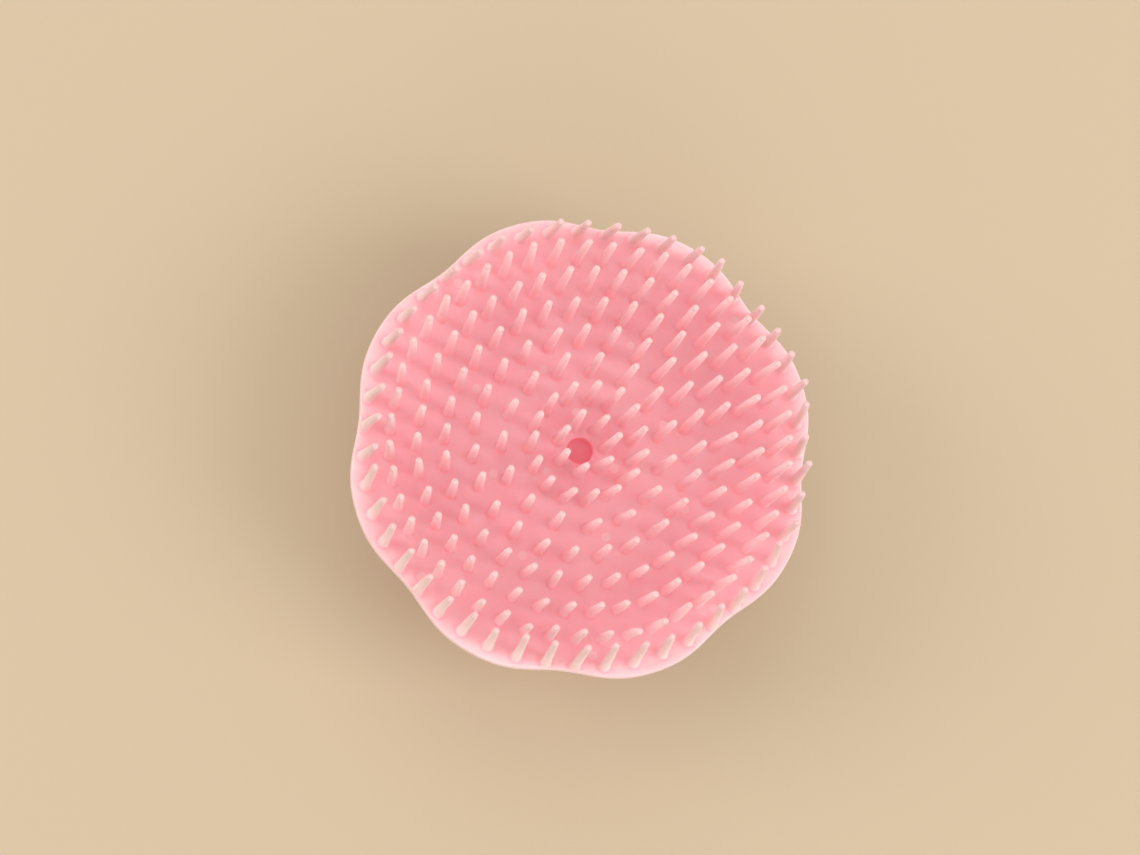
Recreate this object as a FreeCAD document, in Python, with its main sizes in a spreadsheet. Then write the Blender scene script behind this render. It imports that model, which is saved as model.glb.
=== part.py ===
import FreeCAD, Part
import math
import os
import re

import Sketcher

# Facial cleansing brush: a petal-shaped soft pad with eight rings of moulded bristles, on a hollow
# grip knob whose barbed stud snaps through the pad's hub and lets the pad swivel.
# Millimetres and degrees. +Z points up through the bristles. The origin is the centre of the flat
# face of the end cap, which the brush stands on. One petal's tip and the first bristle of every
# ring lie on the +Y side.

DIMENSIONS = [
    ("lobe_count", 8, "petals round the pad"),
    ("lobe_peak_radius", 55.37, "centre of the pad to a petal's tip"),
    ("lobe_arc_radius", 31.0, "outline arc of a petal"),
    ("notch_arc_radius", 34.7, "outline arc between two petals"),
    ("flat_radius", 33.0, "flat middle of the pad"),
    ("rim_slope", 18.0, "angle at which the rim rises towards the bristle side"),
    ("plate_thickness", 2.4, "wall of the pad"),
    ("bend_radius", 14.0, "rounding of the back where the rim starts to rise"),
    ("rim_edge_radius", 0.9, "rounding of the pad's outer edge"),
    ("blank_radius", 60.0, "saucer before the petals are cut out of it"),
    ("trim_radius", 65.0, "outer limit of that cut"),
    ("hub_radius", 10.0, "thick hub behind the middle of the pad"),
    ("hub_depth", 6.0, "hub below the pad's back face"),
    ("hub_root_radius", 1.5, "fillet round the hub"),
    ("bore_radius", 2.25, "bore in the hub that the stud turns in"),
    ("bore_length", 1.9, "length of that bore"),
    ("socket_radius", 3.1, "wider socket above the bore, which the stud's barb snaps into"),
    ("socket_top", 4.0, "hub's lower face to the top of the socket"),
    ("recess_radius", 3.1, "round recess in the middle of the bristle side"),
    ("recess_depth", 1.8, "depth of that recess"),
    ("first_ring_radius", 5.85, "innermost ring of bristles"),
    ("ring_pitch", 6.64, "ring to ring on the flat middle"),
    ("rim_ring_pitch", 6.45, "ring to ring on the sloping rim, measured level"),
    ("first_ring_count", 7, "bristles in the innermost ring"),
    ("second_ring_count", 15, "bristles in the second ring"),
    ("third_ring_count", 15, "bristles in the third ring"),
    ("fourth_ring_count", 23, "bristles in the fourth ring"),
    ("fifth_ring_count", 31, "last ring on the flat middle"),
    ("sixth_ring_count", 39, "bristles in the sixth ring"),
    ("seventh_ring_count", 47, "bristles in the seventh ring"),
    ("eighth_ring_count", 47, "bristles in the outermost ring"),
    ("bristle_length", 21.0, "surface of the pad to a bristle's tip"),
    ("bristle_foot_radius", 1.26, "bristle's foot, inside the wall of the pad"),
    ("bristle_tip_radius", 0.78, "rounded end of a bristle"),
    ("bristle_sink", 1.1, "depth of the foot in the wall"),
    ("outer_ring_lean", 6.3, "inward lean of the outermost ring"),
    ("mark_radius", 1.25, "round mark left by an ejector pin"),
    ("mark_depth", 0.15, "depth of such a mark"),
    ("hub_mark_ring", 9.3, "radius of the ring of marks over the hub"),
    ("inner_mark_ring", 21.4, "radius of the next ring of marks"),
    ("outer_mark_ring", 28.6, "radius of the ring of marks near the bend"),
    ("handle_height", 27.0, "standing face to the flat front of the pad"),
    ("swivel_play", 0.1, "play along the swivel's axis, at each end of the bore"),
    ("fit_gap", 0.05, "radial play of the stud in its bore and of the cap in the knob"),
    ("neck_radius", 8.5, "knob's neck"),
    ("grip_radius", 16.0, "widest part of the knob"),
    ("grip_edge_height", 4.0, "upright edge of the grip"),
    ("grip_shoulder_height", 7.6, "knob's open end to the foot of its neck"),
    ("neck_root_radius", 4.0, "fillet between the neck and the grip"),
    ("grip_edge_radius", 2.2, "rounding of the grip's upper edge"),
    ("neck_top_radius", 0.6, "rounding of the neck's upper edge"),
    ("wall_thickness", 2.0, "wall of the knob's neck and its top"),
    ("mouth_radius", 12.6, "opening at the knob's lower end"),
    ("mouth_depth", 3.6, "straight part of that opening"),
    ("throat_height", 6.2, "knob's open end to the foot of the hollow neck"),
    ("barb_radius", 2.85, "widest part of the stud's barb"),
    ("barb_land", 0.4, "straight part of the barb"),
    ("barb_length", 1.8, "barb's shoulder to the stud's end"),
    ("stud_end_radius", 1.7, "end of the stud"),
    ("cap_radius", 15.5, "flange of the end cap"),
    ("cap_thickness", 2.0, "thickness of that flange"),
    ("cap_edge_radius", 0.8, "rounding of its lower edge"),
    ("spigot_height", 3.3, "ring of the cap that plugs into the knob"),
    ("spigot_wall", 1.5, "wall of that ring"),
    ("bead_height", 0.35, "snap bead on the ring"),
    ("bead_level", 1.8, "flange to the middle of the bead"),
    ("bead_half_width", 0.6, "middle of the bead to its edge"),
]

FLAT_RINGS = ["first", "second", "third", "fourth", "fifth"]
RIM_RINGS = ["sixth", "seventh", "eighth"]

# Rings of ejector-pin marks: name, first angle from the X axis, how many.
EJECTOR_MARKS = [("hub", 77.2, 3), ("inner", 0.0, 4), ("outer", 45.0, 4)]

FULL_TURN = 360.0
SKETCH_NORMAL = FreeCAD.Vector(0, 0, 1)
TOLERANCE = 0.01

# Heights of the pad in its own frame, which stands on the hub's lower face.
FRONT_LEVEL = "hub_depth + plate_thickness"
KNOB_TOP = "handle_height - cap_thickness - hub_depth - plate_thickness - swivel_play"

doc = FreeCAD.newDocument("facial_cleansing_brush")
sheet = doc.addObject("Spreadsheet::Sheet", "Dimensions")
ALIASES = set()
for row, (alias, value, note) in enumerate(DIMENSIONS, start=1):
    sheet.set("A%d" % row, alias)
    sheet.set("B%d" % row, str(value))
    sheet.setAlias("B%d" % row, alias)
    sheet.set("C%d" % row, note)
    ALIASES.add(alias)
doc.recompute()


# ---------------------------------------------------------------- expressions

def in_sheet(expression):
    """The expression with each alias in it pointed at the sheet."""
    def pointed(match):
        word = match.group(0)
        return "Dimensions." + word if word in ALIASES else word
    return re.sub(r"[a-z_]+", pointed, expression)


def worked_out(expression):
    """The number that an expression stands for now."""
    result = sheet.evalExpression(in_sheet(expression))
    return float(getattr(result, "Value", result))


def bind(item, prop, expression):
    item.setExpression(prop, in_sheet(expression))


# ---------------------------------------------------------------- bodies, sketches and features

def new_body(label, height):
    """A body whose own frame stands at the given height above the standing face."""
    body = doc.addObject("PartDesign::Body", label)
    body.Label = label
    bind(body, "Placement.Base.z", height)
    return body


def origin_feature(body, role):
    return next(item for item in body.Origin.OriginFeatures if item.Role == role)


def new_sketch(body, name, plane):
    sketch = body.newObject("Sketcher::SketchObject", name)
    sketch.AttachmentSupport = [(origin_feature(body, plane), "")]
    sketch.MapMode = "FlatFace"
    return sketch


def pin_point(sketch, element, vertex, across, up):
    """Hold one vertex at two expressions, measured from the sketch's origin."""
    for kind, axis, expression in (("DistanceX", -2, across), ("DistanceY", -1, up)):
        if expression == "0":
            sketch.addConstraint(Sketcher.Constraint("PointOnObject", element, vertex, axis))
            continue
        constraint = Sketcher.Constraint(kind, -1, 1, element, vertex, worked_out(expression))
        number = sketch.addConstraint(constraint)
        bind(sketch, "Constraints[%d]" % number, expression)


def hold_radius(sketch, element, expression):
    number = sketch.addConstraint(Sketcher.Constraint("Radius", element, worked_out(expression)))
    bind(sketch, "Constraints[%d]" % number, expression)


def draw_outline(sketch, corners, arc_ends=()):
    """A closed outline whose corners are pairs of expressions.

    Each corner named in arc_ends starts a quarter arc to the next corner, centred level with the
    first of the two and on the vertical axis.
    """
    points = [FreeCAD.Vector(worked_out(across), worked_out(up), 0) for across, up in corners]
    count = len(points)
    for index, start in enumerate(points):
        end = points[(index + 1) % count]
        if index in arc_ends:
            centre = FreeCAD.Vector(0, start.y, 0)
            circle = Part.Circle(centre, SKETCH_NORMAL, start.x)
            sketch.addGeometry(Part.ArcOfCircle(circle, 0, math.pi / 2), False)
        else:
            sketch.addGeometry(Part.LineSegment(start, end), False)
    for index in range(count):
        following = (index + 1) % count
        sketch.addConstraint(Sketcher.Constraint("Coincident", index, 2, following, 1))
    for index, (across, up) in enumerate(corners):
        pin_point(sketch, index, 1, across, up)
    for index in arc_ends:
        sketch.addConstraint(Sketcher.Constraint("PointOnObject", index, 3, -2))


def revolve(body, name, sketch):
    turned = body.newObject("PartDesign::Revolution", name)
    turned.Profile = sketch
    turned.ReferenceAxis = (sketch, ["V_Axis"])
    turned.Angle = FULL_TURN
    body.Tip = turned
    return turned


def turn_out(body, name, sketch):
    """Cut a revolved outline out of the body."""
    groove = body.newObject("PartDesign::Groove", name)
    groove.Profile = sketch
    groove.ReferenceAxis = (sketch, ["V_Axis"])
    groove.Angle = FULL_TURN
    body.Tip = groove
    return groove


def repeat_round(body, name, feature, occurrences):
    pattern = body.newObject("PartDesign::PolarPattern", name)
    pattern.Originals = [feature]
    pattern.Axis = (origin_feature(body, "Z_Axis"), [""])
    pattern.Angle = FULL_TURN
    if occurrences in ALIASES:
        pattern.Occurrences = int(worked_out(occurrences))
        bind(pattern, "Occurrences", occurrences)
    else:
        pattern.Occurrences = int(occurrences)
    body.Tip = pattern
    return pattern


def round_edges(body, name, radius, wanted):
    """Fillet the edges of the body's last feature that the test picks."""
    doc.recompute()
    base = body.Tip
    edges = ["Edge%d" % number for number, edge in enumerate(base.Shape.Edges, 1) if wanted(edge)]
    if not edges:
        raise ValueError("no edge for " + name)
    fillet = body.newObject("PartDesign::Fillet", name)
    fillet.Base = (base, edges)
    bind(fillet, "Radius", radius)
    body.Tip = fillet
    return fillet


def circle_at(radius, level):
    """A test for a level circle of a radius, at a height in the body's own frame."""
    wanted_radius = worked_out(radius)
    wanted_level = worked_out(level)

    def wanted(edge):
        if not isinstance(edge.Curve, Part.Circle):
            return False
        near_radius = abs(edge.Curve.Radius - wanted_radius) < TOLERANCE
        return near_radius and abs(edge.Curve.Center.z - wanted_level) < TOLERANCE
    return wanted


# ---------------------------------------------------------------- the pad

def rim_rise(radius):
    """Expression for how far the rim has risen at a radius."""
    return "( %s - flat_radius ) * tan( rim_slope * 1 deg )" % radius


def at_angle(radius, angle):
    return FreeCAD.Vector(radius * math.cos(angle), radius * math.sin(angle), 0)


def add_arc(sketch, centre, radius, middle, half):
    """An arc, from the direction of its middle and half the angle that it spans."""
    circle = Part.Circle(centre, SKETCH_NORMAL, radius)
    sketch.addGeometry(Part.ArcOfCircle(circle, middle - half, middle + half), False)


def petal_outline(sketch):
    """Petals and notches as arcs that run into each other."""
    count = int(worked_out("lobe_count"))
    lobe_arc = worked_out("lobe_arc_radius")
    notch_arc = worked_out("notch_arc_radius")
    lobe_reach = worked_out("lobe_peak_radius - lobe_arc_radius")
    half_step = math.pi / count
    across = lobe_reach * math.sin(half_step)
    along = math.sqrt((lobe_arc + notch_arc) ** 2 - across ** 2)
    notch_reach = lobe_reach * math.cos(half_step) + along
    # Where a petal runs into a notch, as an angle at the petal's own centre.
    join = math.atan2(notch_reach * math.sin(half_step), notch_reach * math.cos(half_step) - lobe_reach)
    for index in range(count):
        turn = 2 * index * half_step
        notch_turn = turn + half_step
        add_arc(sketch, at_angle(lobe_reach, turn), lobe_arc, turn, join)
        add_arc(sketch, at_angle(notch_reach, notch_turn), notch_arc, notch_turn + math.pi, join - half_step)
    total = 2 * count
    centre = "( lobe_peak_radius - lobe_arc_radius ) * %s( %d * 360 deg / lobe_count )"
    for index in range(count):
        lobe = 2 * index
        notch = lobe + 1
        next_lobe = (lobe + 2) % total
        sketch.addConstraint(Sketcher.Constraint("Tangent", lobe, 2, notch, 2))
        sketch.addConstraint(Sketcher.Constraint("Tangent", notch, 1, next_lobe, 1))
        for kind, function in (("DistanceX", "cos"), ("DistanceY", "sin")):
            expression = centre % (function, index)
            constraint = Sketcher.Constraint(kind, -1, 1, lobe, 3, worked_out(expression))
            number = sketch.addConstraint(constraint)
            bind(sketch, "Constraints[%d]" % number, expression)
        hold_radius(sketch, lobe, "lobe_arc_radius")
        hold_radius(sketch, notch, "notch_arc_radius")


def on_petal_wall(edge):
    """An edge of the pad that runs along its outer wall, but doesn't cross it."""
    inside = worked_out("( lobe_peak_radius + flat_radius ) / 2")
    ends = [vertex.Point for vertex in edge.Vertexes]
    if len(ends) < 2 or min(math.hypot(end.x, end.y) for end in ends) < inside:
        return False
    return math.hypot(ends[0].x - ends[1].x, ends[0].y - ends[1].y) > TOLERANCE


def ring_place(ordinal):
    """Expressions for a ring's radius, and for how far the pad's surface has risen there."""
    if ordinal in FLAT_RINGS:
        radius = "first_ring_radius + %d * ring_pitch" % FLAT_RINGS.index(ordinal)
        return radius, "0"
    steps = "%d * ring_pitch + %d * rim_ring_pitch" % (len(FLAT_RINGS) - 1, RIM_RINGS.index(ordinal) + 1)
    radius = "first_ring_radius + " + steps
    return radius, rim_rise(radius)


def bristle_ring(body, ordinal):
    radius, rise = ring_place(ordinal)
    level = "%s + %s - bristle_sink" % (FRONT_LEVEL, rise)
    sketch = new_sketch(body, ordinal + "_ring_profile", "YZ_Plane")
    lean = "outer_ring_lean" if ordinal == RIM_RINGS[-1] else "0"
    foot = FreeCAD.Vector(worked_out(radius), worked_out(level), 0)
    sketch.AttachmentOffset = FreeCAD.Placement(foot, FreeCAD.Rotation(SKETCH_NORMAL, worked_out(lean)))
    bind(sketch, "AttachmentOffset.Base.x", radius)
    bind(sketch, "AttachmentOffset.Base.y", level)
    if lean != "0":
        bind(sketch, "AttachmentOffset.Rotation.Angle", lean)
    tip = "bristle_sink + bristle_length"
    corners = [
        ("0", "0"),
        ("bristle_foot_radius", "0"),
        ("bristle_tip_radius", tip + " - bristle_tip_radius"),
        ("0", tip),
    ]
    draw_outline(sketch, corners, arc_ends=(2,))
    bristle = revolve(body, ordinal + "_ring_bristle", sketch)
    repeat_round(body, ordinal + "_ring", bristle, ordinal + "_ring_count")


def ejector_marks(body, ring, first_angle, count):
    sketch = new_sketch(body, ring + "_mark_circle", "XY_Plane")
    lift = FreeCAD.Vector(0, 0, worked_out(FRONT_LEVEL))
    sketch.AttachmentOffset = FreeCAD.Placement(lift, FreeCAD.Rotation(SKETCH_NORMAL, first_angle))
    bind(sketch, "AttachmentOffset.Base.z", FRONT_LEVEL)
    ring_radius = ring + "_mark_ring"
    centre = FreeCAD.Vector(worked_out(ring_radius), 0, 0)
    sketch.addGeometry(Part.Circle(centre, SKETCH_NORMAL, worked_out("mark_radius")), False)
    pin_point(sketch, 0, 3, ring_radius, "0")
    hold_radius(sketch, 0, "mark_radius")
    mark = body.newObject("PartDesign::Pocket", ring + "_mark")
    mark.Profile = sketch
    bind(mark, "Length", "mark_depth")
    body.Tip = mark
    repeat_round(body, ring + "_marks", mark, count)


def make_pad():
    body = new_body("brush_pad", "handle_height - hub_depth - plate_thickness")
    saucer = new_sketch(body, "saucer_profile", "YZ_Plane")
    edge_rise = rim_rise("blank_radius")
    draw_outline(saucer, [
        ("0", "0"),
        ("hub_radius", "0"),
        ("hub_radius", "hub_depth"),
        ("flat_radius", "hub_depth"),
        ("blank_radius", "hub_depth + " + edge_rise),
        ("blank_radius", FRONT_LEVEL + " + " + edge_rise),
        ("flat_radius", FRONT_LEVEL),
        ("0", FRONT_LEVEL),
    ])
    revolve(body, "saucer", saucer)
    round_edges(body, "hub_root", "hub_root_radius", circle_at("hub_radius", "hub_depth"))
    round_edges(body, "back_bend", "bend_radius", circle_at("flat_radius", "hub_depth"))

    petals = new_sketch(body, "petal_outline", "XY_Plane")
    petal_outline(petals)
    limit = Part.Circle(FreeCAD.Vector(), SKETCH_NORMAL, worked_out("trim_radius"))
    outside = petals.addGeometry(limit, False)
    petals.addConstraint(Sketcher.Constraint("Coincident", outside, 3, -1, 1))
    hold_radius(petals, outside, "trim_radius")
    trim = body.newObject("PartDesign::Pocket", "petal_trim")
    trim.Profile = petals
    trim.Type = "ThroughAll"
    trim.Reversed = True
    body.Tip = trim
    round_edges(body, "rim_edge", "rim_edge_radius", on_petal_wall)

    socket = new_sketch(body, "socket_profile", "YZ_Plane")
    draw_outline(socket, [
        ("0", "0"),
        ("bore_radius", "0"),
        ("bore_radius", "bore_length"),
        ("socket_radius", "bore_length"),
        ("socket_radius", "socket_top"),
        ("0", "socket_top"),
    ])
    turn_out(body, "socket", socket)
    recess = new_sketch(body, "recess_profile", "YZ_Plane")
    draw_outline(recess, [
        ("0", FRONT_LEVEL + " - recess_depth"),
        ("recess_radius", FRONT_LEVEL + " - recess_depth"),
        ("recess_radius", FRONT_LEVEL),
        ("0", FRONT_LEVEL),
    ])
    turn_out(body, "recess", recess)
    for ring, first_angle, count in EJECTOR_MARKS:
        ejector_marks(body, ring, first_angle, count)
    for ordinal in FLAT_RINGS + RIM_RINGS:
        bristle_ring(body, ordinal)
    return body


# ---------------------------------------------------------------- the handle

def make_knob():
    body = new_body("handle_knob", "cap_thickness")
    shoulder = KNOB_TOP + " + bore_length + 2 * swivel_play"
    outside = new_sketch(body, "knob_profile", "YZ_Plane")
    draw_outline(outside, [
        ("0", "0"),
        ("grip_radius", "0"),
        ("grip_radius", "grip_edge_height"),
        ("neck_radius", "grip_shoulder_height"),
        ("neck_radius", KNOB_TOP),
        ("bore_radius - fit_gap", KNOB_TOP),
        ("bore_radius - fit_gap", shoulder),
        ("barb_radius", shoulder),
        ("barb_radius", shoulder + " + barb_land"),
        ("stud_end_radius", shoulder + " + barb_length"),
        ("0", shoulder + " + barb_length"),
    ])
    revolve(body, "knob", outside)
    round_edges(body, "neck_root", "neck_root_radius", circle_at("neck_radius", "grip_shoulder_height"))
    round_edges(body, "grip_edge", "grip_edge_radius", circle_at("grip_radius", "grip_edge_height"))
    round_edges(body, "neck_top", "neck_top_radius", circle_at("neck_radius", KNOB_TOP))

    hollow = new_sketch(body, "hollow_profile", "YZ_Plane")
    draw_outline(hollow, [
        ("0", "0"),
        ("mouth_radius", "0"),
        ("mouth_radius", "bead_level - bead_half_width"),
        ("mouth_radius + bead_height", "bead_level"),
        ("mouth_radius", "bead_level + bead_half_width"),
        ("mouth_radius", "mouth_depth"),
        ("neck_radius - wall_thickness", "throat_height"),
        ("neck_radius - wall_thickness", KNOB_TOP + " - wall_thickness"),
        ("0", KNOB_TOP + " - wall_thickness"),
    ])
    turn_out(body, "hollow", hollow)
    return body


def make_cap():
    body = new_body("end_cap", "0")
    spigot = "mouth_radius - fit_gap"
    profile = new_sketch(body, "cap_profile", "YZ_Plane")
    draw_outline(profile, [
        ("0", "0"),
        ("cap_radius", "0"),
        ("cap_radius", "cap_thickness"),
        (spigot, "cap_thickness"),
        (spigot, "cap_thickness + bead_level - bead_half_width"),
        (spigot + " + bead_height", "cap_thickness + bead_level"),
        (spigot, "cap_thickness + bead_level + bead_half_width"),
        (spigot, "cap_thickness + spigot_height"),
        (spigot + " - spigot_wall", "cap_thickness + spigot_height"),
        (spigot + " - spigot_wall", "cap_thickness"),
        ("0", "cap_thickness"),
    ])
    revolve(body, "cap", profile)
    round_edges(body, "cap_edge", "cap_edge_radius", circle_at("cap_radius", "0"))
    return body


# ---------------------------------------------------------------- build, check and write

def check(bodies):
    for item in doc.Objects:
        if "Invalid" in item.State or "Error" in item.State:
            raise ValueError("%s failed: %s" % (item.Name, item.State))
    for body in bodies:
        if body.Shape.isNull() or not body.Shape.isValid():
            raise ValueError(body.Label + " has no valid shape")
        if len(body.Shape.Solids) != 1:
            raise ValueError("%s has %d solids" % (body.Label, len(body.Shape.Solids)))


parts = [make_pad(), make_knob(), make_cap()]
doc.recompute()
check(parts)
os.makedirs("parts", exist_ok=True)
for part in parts:
    part.Shape.exportStep("parts/%s.step" % part.Label)
    box = part.Shape.BoundBox
    print("%-12s %8.0f mm3  x %.2f %.2f  y %.2f %.2f  z %.2f %.2f" % (
        part.Label, part.Shape.Volume, box.XMin, box.XMax, box.YMin, box.YMax, box.ZMin, box.ZMax))
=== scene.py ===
import math
import random

import bmesh
import bpy
from mathutils import Matrix, Vector
from mathutils.geometry import delaunay_2d_cdt


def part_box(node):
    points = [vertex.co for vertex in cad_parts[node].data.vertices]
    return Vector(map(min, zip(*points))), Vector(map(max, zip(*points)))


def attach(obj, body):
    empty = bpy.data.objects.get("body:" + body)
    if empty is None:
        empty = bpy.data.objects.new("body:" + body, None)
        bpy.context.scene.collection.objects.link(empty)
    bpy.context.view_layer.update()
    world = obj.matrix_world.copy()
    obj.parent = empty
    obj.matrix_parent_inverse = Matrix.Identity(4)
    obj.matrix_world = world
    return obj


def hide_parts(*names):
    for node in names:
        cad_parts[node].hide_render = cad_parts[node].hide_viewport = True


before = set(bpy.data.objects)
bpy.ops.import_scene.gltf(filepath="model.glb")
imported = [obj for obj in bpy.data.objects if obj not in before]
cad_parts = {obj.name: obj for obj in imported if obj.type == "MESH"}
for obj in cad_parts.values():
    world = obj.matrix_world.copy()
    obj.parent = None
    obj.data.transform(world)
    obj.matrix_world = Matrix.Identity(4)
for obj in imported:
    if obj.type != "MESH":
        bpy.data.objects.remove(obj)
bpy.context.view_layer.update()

# Facial cleansing brush: a petal-shaped pad of translucent pink plastic with eight rings of moulded
# bristles, on a hollow grip knob. The pad and the handle are rebuilt here as smooth meshes in the
# places of their CAD solids. Sizes are in millimetres and are turned into metres as meshes are made.

MM = 0.001
random.seed(41)

# The pad's own frame: its axis is Z, and its flat front is at FRONT. Every ring of bristles starts
# on the line at LEAD, which runs out through the tip of a petal.
LEAD = math.pi / 2
PETALS = 8
PETAL_MEAN = 54.31
PETAL_DEPTH = 1.26
PETAL_FLATTEN = 0.20
PLATE = 2.4
HUB_DEPTH = 6.0
HUB_RADIUS = 10.0
HUB_ROOT = 1.5
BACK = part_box("brush_pad")[0].z / MM + HUB_DEPTH
FRONT = BACK + PLATE
BORE_RADIUS = 2.25
BORE_LENGTH = 1.9
SOCKET_RADIUS = 3.1
SOCKET_TOP = 4.0
RECESS_RADIUS = 3.1
RECESS_DEPTH = 1.8
RIM_START = 33.0
RIM_SLOPE = math.radians(18.0)
RIM_BEND = 4.0
EDGE_IN = 0.55
EDGE_DOWN = 0.95
# The soft pad has taken a slight set: its rim dips at +X and -X and lifts at +Y and -Y, by this much
# for each square millimetre of the distance from the middle, and the bristles lean with it.
WARP = 0.00021

# Rings of bristles: how many, and the ring's radius.
RING_COUNTS = (7, 15, 15, 23, 31, 39, 47, 47)
FLAT_RINGS = 5
FIRST_RING = 5.85
RING_PITCH = 6.64
RIM_RING_PITCH = 6.45
OUTER_RING = len(RING_COUNTS) - 1
BRISTLE_LENGTH = 21.0
ROOT_RADIUS = 1.22
ROOT_FILLET = 0.6
TIP_RADIUS = 0.78
BRISTLE_SIDES = 18
INNER_SET = Vector((0.15, -0.4))

# The handle: a stud with a barb, a neck, a flared grip and a mouth that the end cap plugs into.
BARB_LENGTH = 1.8
BARB_LAND = 0.4
BARB_RADIUS = 2.85
STUD_END_RADIUS = 1.7
STUD_RADIUS = 2.2
SWIVEL_PLAY = 0.1
NECK_RADIUS = 8.5
GRIP_RADIUS = 16.0
GRIP_EDGE = 4.0
GRIP_SHOULDER = 7.6
SEAM_HEIGHT = 1.6
SEAM_HALF_WIDTH = 0.09
SEAM_PROUD = 0.05
WALL = 2.0
MOUTH_RADIUS = 12.6
MOUTH_DEPTH = 3.6
THROAT = 6.2
BEAD_LEVEL = 1.8
BEAD_HALF_WIDTH = 0.6
BEAD_HEIGHT = 0.35
CAP_THICKNESS = 2.0
FIT_GAP = 0.05
SPIGOT_WALL = 1.5
GATE_RADIUS = 1.3
GATE_DEPTH = 0.15
TURNED_SIDES = 160
SHARP_ANGLE = math.radians(38.0)

# Ejector-pin marks: radius of the ring, first angle, how many.
MARK_RINGS = ((9.3, 77.2, 3), (21.4, 0.0, 4), (28.6, 45.0, 4), (48.7, 22.5, 4), (49.0, 256.4, 1))
MARK_RADIUS = 1.25
MARK_STEP = 0.12
MARK_SIDES = 20

# Thinness runs from -1 in the thick hub, by 0 on the plate, to 1 at a bristle's tip. Light passes
# through the thin parts, which look paler. This value paints that light into the base colour: thin
# parts are painted paler and the thick hub and the recess deeper. The rim and its rounded edge are
# painted pale as a stand-in for light coming through them from behind.
EDGE_PAINTED_GLOW = 0.98
RIM_PAINTED_GLOW = 0.5


# ---------------------------------------------------------------- the pad's surfaces

def outline(angle):
    """Radius of the petal outline at an angle."""
    turn = PETALS * (angle - LEAD)
    return PETAL_MEAN + PETAL_DEPTH * math.cos(turn) - PETAL_FLATTEN * math.cos(2 * turn)


def rise(radius):
    """How far the plate has risen at a radius: flat, then a short bend, then a straight slope."""
    past = radius - RIM_START
    if past < -RIM_BEND:
        return 0.0
    if past > RIM_BEND:
        return past * math.tan(RIM_SLOPE)
    return math.tan(RIM_SLOPE) * (past + RIM_BEND) ** 2 / (4 * RIM_BEND)


def lift(x, y):
    """How far the plate stands above its flat middle at a point."""
    return rise(math.hypot(x, y)) + WARP * (y * y - x * x)


def front(x, y):
    return FRONT + lift(x, y)


def front_limit(angle):
    """Radius at which the flat of the front gives way to the rim's rounded edge."""
    return outline(angle) - EDGE_IN


def smooth(value):
    value = min(max(value, 0.0), 1.0)
    return value * value * (3 - 2 * value)


# ---------------------------------------------------------------- mesh making

class Surface:
    """Points, faces and a value per point, in millimetres, gathered up for one mesh."""

    def __init__(self):
        self.points = []
        self.faces = []
        self.values = []

    def add(self, point, value=0.0):
        self.points.append(point)
        self.values.append(value)
        return len(self.points) - 1

    def ring(self, points, value=0.0):
        return [self.add(point, value) for point in points]

    def bridge(self, lower, upper):
        """Quads between two rings that run anticlockwise, seen from the side they face."""
        count = len(lower)
        for index in range(count):
            following = (index + 1) % count
            self.faces.append((lower[index], lower[following], upper[following], upper[index]))

    def close(self, ring, tip):
        count = len(ring)
        for index in range(count):
            self.faces.append((ring[index], ring[(index + 1) % count], tip))

    def make(self, name, attribute):
        mesh = bpy.data.meshes.new(name)
        scaled = [(point[0] * MM, point[1] * MM, point[2] * MM) for point in self.points]
        mesh.from_pydata(scaled, [], self.faces)
        work = bmesh.new()
        work.from_mesh(mesh)
        bmesh.ops.recalc_face_normals(work, faces=work.faces)
        work.to_mesh(mesh)
        work.free()
        values = mesh.attributes.new(attribute, "FLOAT", "POINT")
        values.data.foreach_set("value", self.values)
        mesh.polygons.foreach_set("use_smooth", [True] * len(mesh.polygons))
        mesh.set_sharp_from_angle(angle=SHARP_ANGLE)
        piece = bpy.data.objects.new(name, mesh)
        bpy.context.scene.collection.objects.link(piece)
        return piece


def circle(centre_x, centre_y, radius, count, start=0.0):
    step = 2 * math.pi / count
    points = []
    for index in range(count):
        angle = start + index * step
        points.append((centre_x + radius * math.cos(angle), centre_y + radius * math.sin(angle)))
    return points


def lathe_rings(surface, profile, count, value=0.0):
    """Rings round the Z axis through each (radius, height) of a profile."""
    rings = []
    for radius, height in profile:
        rings.append(surface.ring([(x, y, height) for x, y in circle(0, 0, radius, count)], value))
    return rings


def rounded(corners):
    """A (radius, height) profile from corners of (radius, height, rounding)."""
    points = []
    for index, (across, up, rounding) in enumerate(corners):
        corner = Vector((across, up))
        if rounding == 0:
            points.append(tuple(corner))
            continue
        back = (Vector(corners[index - 1][:2]) - corner).normalized()
        ahead = (Vector(corners[index + 1][:2]) - corner).normalized()
        half = back.angle(ahead) / 2
        centre = corner + (back + ahead).normalized() * rounding / math.sin(half)
        start = corner + back * rounding / math.tan(half) - centre
        sweep = math.copysign(math.pi - 2 * half, back.x * ahead.y - back.y * ahead.x)
        steps = max(2, round(abs(sweep) * (3 + math.sqrt(rounding) * 2)))
        for step in range(steps + 1):
            turned = Matrix.Rotation(-sweep * step / steps, 2) @ start
            points.append(tuple(centre + turned))
    return points


# ---------------------------------------------------------------- bristles

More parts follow.
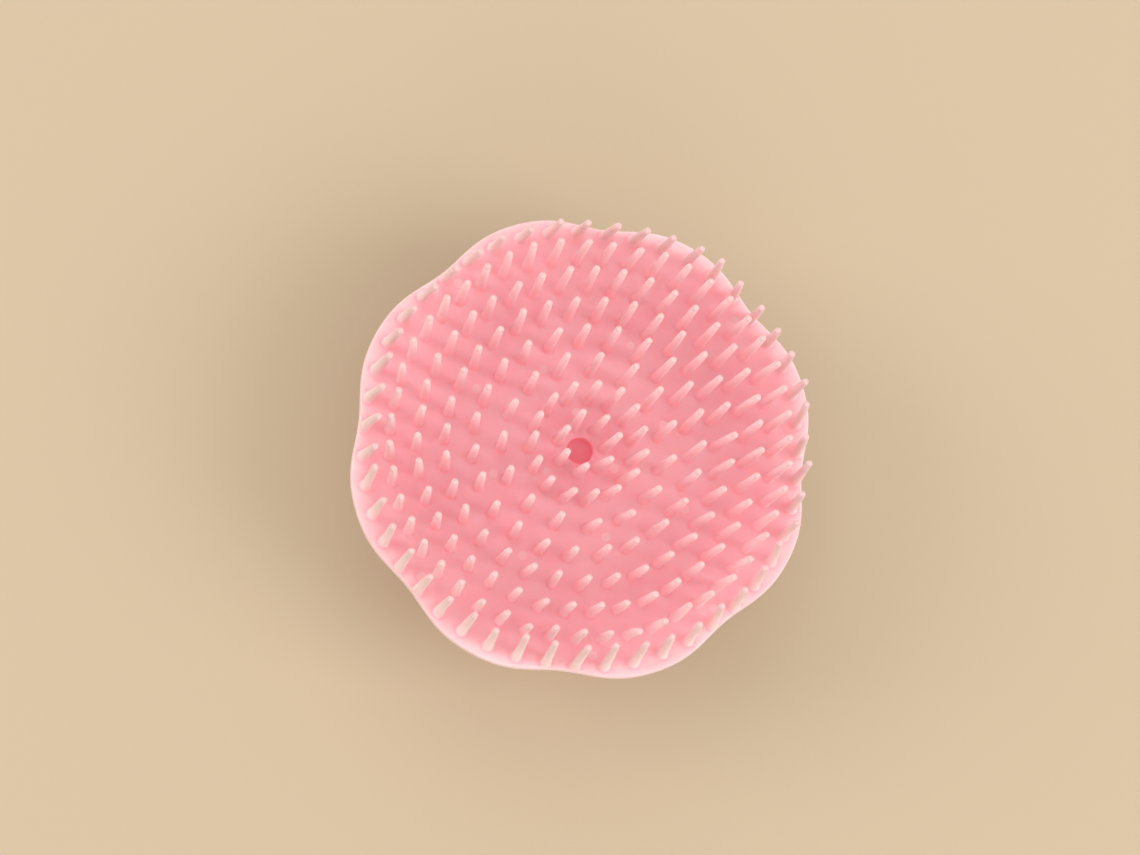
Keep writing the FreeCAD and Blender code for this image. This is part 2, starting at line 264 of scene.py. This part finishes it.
class Bristle:
    """One bristle: where it stands, and how its tip is set off from its root."""

    def __init__(self, ring, index):
        count = RING_COUNTS[ring]
        self.ring = ring
        self.angle = LEAD + 2 * math.pi * index / count
        turn = PETALS * (self.angle - LEAD)
        radius = FIRST_RING + RING_PITCH * min(ring, FLAT_RINGS - 1)
        radius += RIM_RING_PITCH * max(ring - FLAT_RINGS + 1, 0)
        out = 0.4
        along = 0.0
        stray = 0.22
        if ring == OUTER_RING:
            radius += -0.15 + 0.2 * math.cos(turn)
            out = -2.15 + 0.33 * math.cos(turn)
            along = -0.33 * math.sin(turn)
            stray = 0.42
        elif ring == OUTER_RING - 1:
            out = 0.2 + 0.28 * math.cos(turn)
            stray = 0.3
        elif ring < 3:
            radius -= 0.2
            out = 0.65
        self.x = radius * math.cos(self.angle)
        self.y = radius * math.sin(self.angle)
        inner = max(0.0, 1 - ring / 3)
        self.even = Vector((
            out * math.cos(self.angle) - along * math.sin(self.angle),
            out * math.sin(self.angle) + along * math.cos(self.angle),
        ))
        self.even += Vector((self.x, -self.y)) * 2 * WARP * BRISTLE_LENGTH
        self.even += INNER_SET * inner
        self.own = Vector((random.gauss(0, stray), random.gauss(0, stray)))
        self.length = BRISTLE_LENGTH + random.uniform(-0.15, 0.15)

    def centre(self, height):
        """A point of the centre line, at a height above the plate."""
        share = height / self.length
        lean = self.even * share + self.own * share ** 1.6
        full = (self.even + self.own).length / self.length
        drop = math.sqrt(1 - full * full)
        return Vector((self.x + lean.x, self.y + lean.y, front(self.x, self.y) + height * drop))


def bristle_profile(length):
    """(height, radius) from the top of the root's fillet to just under the tip."""
    shaft = length - TIP_RADIUS - ROOT_FILLET
    profile = []
    for share in (0.0, 0.12, 0.3, 0.5, 0.7, 0.86, 1.0):
        profile.append((ROOT_FILLET + shaft * share, ROOT_RADIUS + (TIP_RADIUS - ROOT_RADIUS) * share))
    for angle in (28.0, 52.0, 72.0):
        turned = math.radians(angle)
        profile.append((length - TIP_RADIUS + TIP_RADIUS * math.sin(turned), TIP_RADIUS * math.cos(turned)))
    return profile


def root_profile():
    """(height, radius) of the fillet, from the plate up to the shaft."""
    profile = []
    for angle in (0.0, 35.0, 65.0):
        turned = math.radians(angle)
        height = ROOT_FILLET * (1 - math.cos(turned))
        profile.append((height, ROOT_RADIUS + ROOT_FILLET * (1 - math.sin(turned))))
    return profile


def bristle_ring_points(bristle, height, radius):
    """One ring of a bristle: it follows the plate at the root and squares up to the centre line."""
    centre = bristle.centre(height)
    ahead = bristle.centre(height + 0.5) - bristle.centre(height)
    ahead.normalize()
    side = Vector((1, 0, 0)) - ahead * ahead.x
    side.normalize()
    other = ahead.cross(side)
    squared = smooth(height / 2.6)
    points = []
    for index in range(BRISTLE_SIDES):
        angle = 2 * math.pi * index / BRISTLE_SIDES
        across = side * math.cos(angle) + other * math.sin(angle)
        upright = centre + across * radius
        reach = math.hypot(upright.x, upright.y)
        limit = front_limit(math.atan2(upright.y, upright.x)) - 0.1 + 0.5 * smooth(height / 1.5)
        if reach > limit and height < 2.0:
            upright.x *= limit / reach
            upright.y *= limit / reach
        on_plate = front(upright.x, upright.y) + height
        upright.z = on_plate + (upright.z - on_plate) * squared
        points.append(tuple(upright))
    return points


def shaft_thinness_and_glow(bristle, height):
    """Painted paleness up a bristle, for light through it: the thin outermost bristles are painted pale
    from the root, the others only towards the tip.
    """
    share = height / bristle.length
    if bristle.ring == OUTER_RING:
        return 0.86 + 0.14 * share
    return share


def raise_bristle(surface, bristle):
    """Builds a bristle and returns the ring of points where it meets the plate."""
    rings = []
    for height, radius in root_profile() + bristle_profile(bristle.length):
        value = shaft_thinness_and_glow(bristle, height) * smooth(height / ROOT_FILLET)
        rings.append(surface.ring(bristle_ring_points(bristle, height, radius), value))
    for lower, upper in zip(rings, rings[1:]):
        surface.bridge(lower, upper)
    tip = surface.add(tuple(bristle.centre(bristle.length)), 1.0)
    surface.close(rings[-1], tip)
    return rings[0]


# ---------------------------------------------------------------- the pad

def mark_places(bristles):
    """Centres of the ejector-pin marks, each eased along its ring until it clears the bristles."""
    clear = ROOT_RADIUS + ROOT_FILLET + MARK_RADIUS + 0.35
    places = []
    for radius, first, count in MARK_RINGS:
        for index in range(count):
            wanted = math.radians(first + 360.0 * index / count)
            for step in range(0, 60):
                shift = math.radians(0.5 * ((step + 1) // 2) * (1 if step % 2 else -1))
                x = radius * math.cos(wanted + shift)
                y = radius * math.sin(wanted + shift)
                if min(math.hypot(x - b.x, y - b.y) for b in bristles) > clear:
                    places.append((x, y))
                    break
    return places


def press_mark(surface, x, y):
    """A shallow round step, and the ring of points where it meets the plate."""
    profile = (
        (MARK_RADIUS + 0.12, 0.0, -0.1), (MARK_RADIUS - 0.03, 0.03, -0.4),
        (MARK_RADIUS - 0.18, MARK_STEP, 0.5), (MARK_RADIUS - 0.4, MARK_STEP, 0.35),
        (MARK_RADIUS * 0.5, MARK_STEP, 0.3),
    )
    rings = []
    for radius, depth, thinness_and_glow in profile:
        points = [(px, py, front(px, py) - depth) for px, py in circle(x, y, radius, MARK_SIDES)]
        rings.append(surface.ring(points, thinness_and_glow))
    for outer, inner in zip(rings, rings[1:]):
        surface.bridge(outer, inner)
    surface.close(rings[-1], surface.add((x, y, front(x, y) - MARK_STEP), 0.3))
    return rings[0]


def sink_recess(surface, count):
    """The round recess in the middle of the bristle side, painted a deeper pink for red light glowing
    through its walls. Returns the ring where it meets the plate.
    """
    floor_level = FRONT - RECESS_DEPTH
    profile = (
        (RECESS_RADIUS + 0.4, FRONT, -0.4), (RECESS_RADIUS + 0.15, FRONT - 0.08, -0.6),
        (RECESS_RADIUS, FRONT - 0.3, -0.8), (RECESS_RADIUS - 0.05, FRONT - 0.8, -1.0),
        (RECESS_RADIUS - 0.1, floor_level + 0.8, -1.0), (RECESS_RADIUS - 0.25, floor_level + 0.6, -1.0),
        (RECESS_RADIUS - 0.8, floor_level + 0.35, -1.0), (RECESS_RADIUS * 0.5, floor_level + 0.1, -1.0),
    )
    rings = []
    for radius, height, thinness_and_glow in profile:
        rings.append(surface.ring([(x, y, height) for x, y in circle(0, 0, radius, count)], thinness_and_glow))
    for outer, inner in zip(rings, rings[1:]):
        surface.bridge(outer, inner)
    surface.close(rings[-1], surface.add((0, 0, floor_level), -1.0))
    return rings[0]


def raise_hub(surface, count):
    """The hub behind the plate, with the socket for the stud. Returns the ring at its root."""
    low = BACK - HUB_DEPTH
    profile = rounded([
        (SOCKET_RADIUS * 0.5, low + SOCKET_TOP, 0), (SOCKET_RADIUS, low + SOCKET_TOP, 0.2),
        (SOCKET_RADIUS, low + BORE_LENGTH, 0.1), (BORE_RADIUS, low + BORE_LENGTH, 0),
        (BORE_RADIUS, low, 0.3), (HUB_RADIUS, low, 0.6), (HUB_RADIUS, BACK, HUB_ROOT),
        (HUB_RADIUS + HUB_ROOT, BACK, 0),
    ])[:-1]
    # The hub is painted a deeper pink, standing in for the weaker light through its thick plastic.
    rings = lathe_rings(surface, profile, count, -0.5)
    for first, second in zip(rings, rings[1:]):
        surface.bridge(first, second)
    surface.close(rings[0], surface.add((0, 0, low + SOCKET_TOP), -0.5))
    return rings[-1]


def rim_and_back(surface, front_ring, hub_ring, angles):
    """The rounded edge of the rim and the back of the plate, in to the hub."""
    rings = [front_ring]
    quarter = 4
    for side in (1, -1):
        for step in range(1 if side > 0 else 0, quarter + (1 if side > 0 else 0)):
            turned = math.radians(90.0 * step / quarter)
            share = turned if side > 0 else math.pi / 2 - turned
            points = []
            for angle in angles:
                radius = outline(angle) - EDGE_IN * (1 - math.sin(share))
                x = radius * math.cos(angle)
                y = radius * math.sin(angle)
                edge = rise(outline(angle) - EDGE_IN) + WARP * (y * y - x * x)
                top = FRONT + edge - EDGE_DOWN * (1 - math.cos(share))
                bottom = BACK + edge + EDGE_DOWN * (1 - math.cos(share))
                points.append((x, y, top if side > 0 else bottom))
            # The rounded edge is painted pale, standing in for light coming through it from behind.
            rings.append(surface.ring(points, EDGE_PAINTED_GLOW))
    inner = HUB_RADIUS + HUB_ROOT
    steps = 16
    for step in range(steps):
        share = 1 - step / steps
        points = []
        for angle in angles:
            whole = outline(angle) - EDGE_IN
            mean = inner + (PETAL_MEAN - EDGE_IN - inner) * share
            radius = mean + (whole - PETAL_MEAN + EDGE_IN) * share ** 3
            x = radius * math.cos(angle)
            y = radius * math.sin(angle)
            points.append((x, y, BACK + lift(x, y)))
        rings.append(surface.ring(points))
    rings.append(hub_ring)
    for first, second in zip(rings, rings[1:]):
        surface.bridge(second, first)


def fill_front(surface, front_ring, holes):
    """Triangles over the plate's front, round every bristle, mark and the recess."""
    owner = {}
    flat = []
    back_to = []
    edges = []
    for number, ring in enumerate([front_ring] + holes):
        first = len(flat)
        for index in ring:
            owner[len(flat)] = number
            flat.append(Vector(surface.points[index][:2]))
            back_to.append(index)
        count = len(ring)
        edges += [(first + index, first + (index + 1) % count) for index in range(count)]
    centres = []
    for ring in holes:
        xs = [surface.points[index][0] for index in ring]
        ys = [surface.points[index][1] for index in ring]
        middle = (sum(xs) / len(xs), sum(ys) / len(ys))
        reach = max(math.hypot(x - middle[0], y - middle[1]) for x, y in zip(xs, ys))
        centres.append((middle[0], middle[1], reach))
    pitch = 1.6
    rows = int(PETAL_MEAN / pitch * 1.2) + 2
    for row in range(-rows, rows + 1):
        for column in range(-rows, rows + 1):
            x = pitch * (column + 0.5 * (row % 2))
            y = pitch * row * math.sqrt(3) / 2
            reach = math.hypot(x, y)
            if reach > front_limit(math.atan2(y, x)) - 0.7:
                continue
            if any(math.hypot(x - cx, y - cy) < radius + 0.6 for cx, cy, radius in centres):
                continue
            # Painted light: the plate is painted deeper over the thick hub and paler towards the rim, for
            # light coming through the edge.
            hub_painted_shade = -0.55 * (1 - smooth((reach - 4.0) / 8.0))
            thinness_and_glow = RIM_PAINTED_GLOW * smooth(1 - (front_limit(math.atan2(y, x)) - reach) / 4.0)
            back_to.append(surface.add((x, y, front(x, y)), hub_painted_shade + thinness_and_glow))
            flat.append(Vector((x, y)))
    points, _, triangles, origins, _, _ = delaunay_2d_cdt(flat, edges, [], 0, 1e-6)
    for triangle in triangles:
        sources = [origins[corner][0] for corner in triangle]
        owners = {owner.get(source) for source in sources}
        if len(owners) == 1 and None not in owners:
            if owners != {0}:
                continue
            middle = sum((points[corner] for corner in triangle), Vector((0, 0))) / 3
            if middle.length > front_limit(math.atan2(middle.y, middle.x)) - 0.02:
                continue
        surface.faces.append(tuple(back_to[source] for source in sources))


def make_pad():
    surface = Surface()
    bristles = [Bristle(ring, index) for ring, count in enumerate(RING_COUNTS) for index in range(count)]
    holes = [raise_bristle(surface, bristle) for bristle in bristles]
    holes += [press_mark(surface, x, y) for x, y in mark_places(bristles)]
    around = 384
    angles = [2 * math.pi * index / around for index in range(around)]
    holes.append(sink_recess(surface, around // 8))
    hub_ring = raise_hub(surface, around // 4)
    front_points = []
    for angle in angles:
        radius = front_limit(angle)
        x = radius * math.cos(angle)
        y = radius * math.sin(angle)
        front_points.append((x, y, front(x, y)))
    # The front ring at the rim is painted pale, standing in for light coming through the edge from behind.
    front_ring = surface.ring(front_points, RIM_PAINTED_GLOW)
    fan = 4
    foot = HUB_RADIUS + HUB_ROOT + 0.6
    foot_points = []
    for x, y in circle(0, 0, foot, around):
        foot_points.append((x, y, BACK + lift(x, y)))
    outer_hub = surface.ring(foot_points)
    count = len(hub_ring)
    for index in range(count):
        following = (index + 1) % count
        start = index * fan
        for step in range(fan):
            here = outer_hub[start + step]
            after = outer_hub[(start + step + 1) % around]
            if step < fan // 2:
                surface.faces.append((hub_ring[index], here, after))
            else:
                surface.faces.append((hub_ring[following], here, after))
        surface.faces.append((hub_ring[index], outer_hub[start + fan // 2], hub_ring[following]))
    rim_and_back(surface, front_ring, outer_hub, angles)
    fill_front(surface, front_ring, holes)
    return surface.make("petal_pad", "thinness_and_glow")


# ---------------------------------------------------------------- the handle

def turned_piece(name, profile):
    """A solid turned about the Z axis, from a profile that starts and ends on the axis."""
    surface = Surface()
    rings = lathe_rings(surface, profile[1:-1], TURNED_SIDES)
    for first, second in zip(rings, rings[1:]):
        surface.bridge(first, second)
    surface.close(rings[0], surface.add((0, 0, profile[0][1])))
    surface.close(rings[-1], surface.add((0, 0, profile[-1][1])))
    return surface.make(name, "thinness_and_glow")


def make_knob():
    """The hollow grip knob: barbed stud, neck, flared grip with its parting line, and open mouth."""
    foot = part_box("handle_knob")[0].z / MM
    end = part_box("handle_knob")[1].z / MM
    shoulder = end - BARB_LENGTH
    top = BACK - HUB_DEPTH - SWIVEL_PLAY
    seam = foot + SEAM_HEIGHT
    bead = foot + BEAD_LEVEL
    return turned_piece("grip_knob", rounded([
        (0.0, end, 0), (STUD_END_RADIUS, end, 0.3),
        (BARB_RADIUS, shoulder + BARB_LAND, 0.15), (BARB_RADIUS, shoulder, 0.1),
        (STUD_RADIUS, shoulder, 0), (STUD_RADIUS, top, 0.3),
        (NECK_RADIUS, top, 0.6), (NECK_RADIUS, foot + GRIP_SHOULDER, 4.0),
        (GRIP_RADIUS, foot + GRIP_EDGE, 2.2),
        (GRIP_RADIUS, seam + SEAM_HALF_WIDTH, 0), (GRIP_RADIUS + SEAM_PROUD, seam, 0),
        (GRIP_RADIUS, seam - SEAM_HALF_WIDTH, 0),
        (GRIP_RADIUS, foot, 0.4), (MOUTH_RADIUS, foot, 0.25),
        (MOUTH_RADIUS, bead - BEAD_HALF_WIDTH, 0), (MOUTH_RADIUS + BEAD_HEIGHT, bead, 0),
        (MOUTH_RADIUS, bead + BEAD_HALF_WIDTH, 0),
        (MOUTH_RADIUS, foot + MOUTH_DEPTH, 0.4), (NECK_RADIUS - WALL, foot + THROAT, 0.8),
        (NECK_RADIUS - WALL, top - WALL, 0.8), (0.0, top - WALL, 0),
    ]))


def make_cap():
    """The end cap: a flat flange with a gate mark in its middle, and a beaded ring that plugs in."""
    foot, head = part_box("end_cap")
    low = foot.z / MM
    top = low + CAP_THICKNESS
    bead = top + BEAD_LEVEL
    spigot = MOUTH_RADIUS - FIT_GAP
    return turned_piece("base_cap", rounded([
        (0.0, low + GATE_DEPTH, 0), (GATE_RADIUS, low + GATE_DEPTH, 0.1),
        (GATE_RADIUS + 0.15, low, 0.1), (head.x / MM, low, 0.8), (head.x / MM, top, 0.25),
        (spigot, top, 0), (spigot, bead - BEAD_HALF_WIDTH, 0), (spigot + BEAD_HEIGHT, bead, 0),
        (spigot, bead + BEAD_HALF_WIDTH, 0), (spigot, head.z / MM, 0.3),
        (spigot - SPIGOT_WALL, head.z / MM, 0.3), (spigot - SPIGOT_WALL, top, 0.4), (0.0, top, 0),
    ]))


pad = make_pad()
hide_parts("brush_pad")
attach(pad, "brush_head")

knob = make_knob()
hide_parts("handle_knob")
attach(knob, "handle")

cap = make_cap()
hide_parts("end_cap")
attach(cap, "handle")


# ---------------------------------------------------------------- materials

# How far red, green and blue light spread, as shares of the scatter: red goes farthest in the plate.
PLATE_SCATTER = (1.0, 0.25, 0.23)
BRISTLE_SCATTER = (0.28, 0.25, 0.24)

# The Mix node's sockets for vectors share their names with its other sockets, so they go by number.
MIX_SHARE = 0
MIX_FIRST_VECTOR = 4
MIX_SECOND_VECTOR = 5
MIX_VECTOR_RESULT = 1


class Plastic:
    """Node material of translucent moulded plastic with a satin, finely textured surface."""

    def __init__(self, name, scatter, roughness):
        self.material = bpy.data.materials.new(name)
        self.material.use_nodes = True
        self.nodes = self.material.node_tree.nodes
        self.links = self.material.node_tree.links
        self.shader = self.nodes["Principled BSDF"]
        self.shader.inputs["Subsurface Weight"].default_value = 1.0
        self.shader.inputs["Subsurface Radius"].default_value = PLATE_SCATTER
        self.shader.inputs["Subsurface Scale"].default_value = scatter
        self.shader.inputs["IOR"].default_value = 1.45
        self.place = self.nodes.new("ShaderNodeTexCoord").outputs["Object"]
        self.cloud = self.noise(90.0, 3.0)
        self.vary_roughness(roughness)
        self.texture()

    def noise(self, scale, detail):
        node = self.nodes.new("ShaderNodeTexNoise")
        node.inputs["Scale"].default_value = scale
        node.inputs["Detail"].default_value = detail
        self.links.new(self.place, node.inputs["Vector"])
        return node.outputs["Fac"]

    def vary_roughness(self, roughness):
        spread = self.nodes.new("ShaderNodeMapRange")
        spread.inputs["From Min"].default_value = 0.3
        spread.inputs["From Max"].default_value = 0.7
        spread.inputs["To Min"].default_value = roughness - 0.07
        spread.inputs["To Max"].default_value = roughness + 0.07
        self.links.new(self.noise(420.0, 4.0), spread.inputs["Value"])
        self.links.new(spread.outputs["Result"], self.shader.inputs["Roughness"])

    def texture(self):
        """A fine moulded grain over a broad, shallow waviness."""
        normal = None
        for scale, detail, strength, depth in ((160.0, 2.0, 0.5, 0.00012), (2600.0, 3.0, 0.35, 0.00003)):
            bump = self.nodes.new("ShaderNodeBump")
            bump.inputs["Strength"].default_value = strength
            bump.inputs["Distance"].default_value = depth
            self.links.new(self.noise(scale, detail), bump.inputs["Height"])
            if normal is not None:
                self.links.new(normal, bump.inputs["Normal"])
            normal = bump.outputs["Normal"]
        self.links.new(normal, self.shader.inputs["Normal"])

    def colour_by(self, source, stops):
        """Base colour from a ramp over a value, shaded a little lighter and deeper in soft clouds."""
        ramp = self.nodes.new("ShaderNodeValToRGB")
        elements = ramp.color_ramp.elements
        while len(elements) < len(stops):
            elements.new(0.5)
        for element, (position, colour) in zip(elements, stops):
            element.position = position
            element.color = colour + (1.0,)
        self.links.new(source, ramp.inputs["Fac"])
        clouds = self.nodes.new("ShaderNodeHueSaturation")
        amount = self.nodes.new("ShaderNodeMapRange")
        amount.inputs["From Min"].default_value = 0.3
        amount.inputs["From Max"].default_value = 0.7
        amount.inputs["To Min"].default_value = 0.94
        amount.inputs["To Max"].default_value = 1.06
        self.links.new(self.cloud, amount.inputs["Value"])
        self.links.new(amount.outputs["Result"], clouds.inputs["Saturation"])
        self.links.new(ramp.outputs["Color"], clouds.inputs["Color"])
        self.links.new(clouds.outputs["Color"], self.shader.inputs["Base Color"])


def pad_plastic():
    """The pad's plastic, with painted light: hub and recess painted deeper, bristle ends and rim painted
    paler, for light through it; light spreads less in the thin parts.
    """
    plastic = Plastic("translucent_pink", 0.007, 0.52)
    thinness_and_glow = plastic.nodes.new("ShaderNodeAttribute")
    thinness_and_glow.attribute_name = "thinness_and_glow"
    spread = plastic.nodes.new("ShaderNodeMapRange")
    spread.inputs["From Min"].default_value = -1.0
    spread.inputs["From Max"].default_value = 1.0
    plastic.links.new(thinness_and_glow.outputs["Fac"], spread.inputs["Value"])
    # Painted light: the stops paint the recess and hub deeper and the upper shafts paler for light through
    # the plastic; the last stop paints the very tip darker again, for light passing out through its clear
    # end.
    plastic.colour_by(spread.outputs["Result"], (
        (0.0, (1.0, 0.27, 0.34)),
        (0.25, (1.0, 0.41, 0.48)),
        (0.5, (0.97, 0.51, 0.565)),
        (0.58, (0.96, 0.575, 0.615)),
        (0.75, (0.94, 0.60, 0.625)),
        (0.88, (0.92, 0.60, 0.615)),
        (0.95, (0.85, 0.62, 0.615)),
        (1.0, (0.70, 0.485, 0.48)),
    ))
    reach = plastic.nodes.new("ShaderNodeMapRange")
    reach.inputs["From Min"].default_value = 0.0
    reach.inputs["From Max"].default_value = 0.4
    reach.inputs["To Min"].default_value = 0.0048
    reach.inputs["To Max"].default_value = 0.0005
    plastic.links.new(thinness_and_glow.outputs["Fac"], reach.inputs["Value"])
    plastic.links.new(reach.outputs["Result"], plastic.shader.inputs["Subsurface Scale"])
    onto_bristle = plastic.nodes.new("ShaderNodeMapRange")
    onto_bristle.inputs["From Min"].default_value = 0.0
    onto_bristle.inputs["From Max"].default_value = 0.4
    plastic.links.new(thinness_and_glow.outputs["Fac"], onto_bristle.inputs["Value"])
    spread_of_red = plastic.nodes.new("ShaderNodeMix")
    spread_of_red.data_type = "VECTOR"
    spread_of_red.inputs[MIX_FIRST_VECTOR].default_value = PLATE_SCATTER
    spread_of_red.inputs[MIX_SECOND_VECTOR].default_value = BRISTLE_SCATTER
    plastic.links.new(onto_bristle.outputs["Result"], spread_of_red.inputs[MIX_SHARE])
    plastic.links.new(spread_of_red.outputs[MIX_VECTOR_RESULT], plastic.shader.inputs["Subsurface Radius"])
    return plastic.material


def handle_plastic():
    """The handle's plastic, in a deeper pink than the pad."""
    plastic = Plastic("handle_pink", 0.0035, 0.38)
    plastic.colour_by(plastic.noise(40.0, 2.0), (
        (0.3, (0.95, 0.30, 0.37)),
        (0.7, (0.96, 0.35, 0.41)),
    ))
    return plastic.material


pad.data.materials.append(pad_plastic())
handle_pink = handle_plastic()
knob.data.materials.append(handle_pink)
cap.data.materials.append(handle_pink)


# ---------------------------------------------------------------- stage, lights and camera

def make_floor():
    mesh = bpy.data.meshes.new("floor")
    reach = 8.0
    corners = [(-reach, -reach, 0), (reach, -reach, 0), (reach, reach, 0), (-reach, reach, 0)]
    mesh.from_pydata(corners, [], [(0, 1, 2, 3)])
    floor = bpy.data.objects.new("floor", mesh)
    bpy.context.scene.collection.objects.link(floor)
    material = bpy.data.materials.new("pale_paper")
    material.use_nodes = True
    paper = material.node_tree.nodes["Principled BSDF"]
    paper.inputs["Base Color"].default_value = (0.475, 0.38, 0.262, 1)
    paper.inputs["Roughness"].default_value = 0.9
    mesh.materials.append(material)


# Where the camera stands to the pad: the pad's axis leans this far off the line of sight, in this
# direction of the picture, and the picture's sides are turned this far from the petals.
CAMERA_TILT = math.radians(12.2)
CAMERA_TILT_TOWARDS = math.radians(53.9)
CAMERA_TURN = math.radians(16.3)
CAMERA_DISTANCE = 546.0
CAMERA_ASIDE = (2.3, -5.5)
LENS = 72.6
LAMP_COLOUR = (1.0, 0.985, 0.97)


def camera_frame():
    """Rotation from the camera's axes to the pad's."""
    lean_axis = Vector((-math.sin(CAMERA_TILT_TOWARDS), math.cos(CAMERA_TILT_TOWARDS), 0))
    leaned = Matrix.Rotation(CAMERA_TILT, 3, lean_axis)
    return Matrix.Rotation(-CAMERA_TURN, 3, "Z") @ leaned.transposed()


def make_camera():
    turned = camera_frame()
    shift = Vector((CAMERA_ASIDE[0], CAMERA_ASIDE[1], -CAMERA_DISTANCE))
    place = -(turned @ shift) + Vector((0, 0, FRONT))
    data = bpy.data.cameras.new("camera")
    data.lens = LENS
    data.sensor_width = 36.0
    camera = bpy.data.objects.new("camera", data)
    camera.matrix_world = Matrix.Translation(place * MM) @ turned.to_4x4()
    bpy.context.scene.collection.objects.link(camera)
    bpy.context.scene.camera = camera


def make_light(name, right, up, near, size, power, colour):
    """A square light, placed by the picture's own directions, that faces the brush."""
    turned = camera_frame()
    target = Vector((0, 0, FRONT * MM))
    place = target + turned @ Vector((right, up, near))
    data = bpy.data.lights.new(name, "AREA")
    data.shape = "SQUARE"
    data.size = size
    data.energy = power
    data.color = colour
    light = bpy.data.objects.new(name, data)
    facing = (place - target).to_track_quat("Z", "Y").to_matrix().to_4x4()
    light.matrix_world = Matrix.Translation(place) @ facing
    bpy.context.scene.collection.objects.link(light)


def make_world():
    world = bpy.data.worlds.new("studio")
    world.use_nodes = True
    background = world.node_tree.nodes["Background"]
    background.inputs["Color"].default_value = (1.0, 0.97, 0.93, 1)
    background.inputs["Strength"].default_value = 0.93
    bpy.context.scene.world = world


make_floor()
make_camera()
make_light("right", 1.7, -0.3, 1.36, 1.2, 20.5, LAMP_COLOUR)
make_light("left", -1.7, 0.66, 1.32, 1.2, 17.0, LAMP_COLOUR)
make_light("above", -0.2, 1.9, 1.32, 1.6, 8.0, LAMP_COLOUR)
make_light("below", 0.2, -1.9, 1.32, 1.6, 10.0, LAMP_COLOUR)
make_world()
bpy.context.scene.view_settings.view_transform = "Standard"
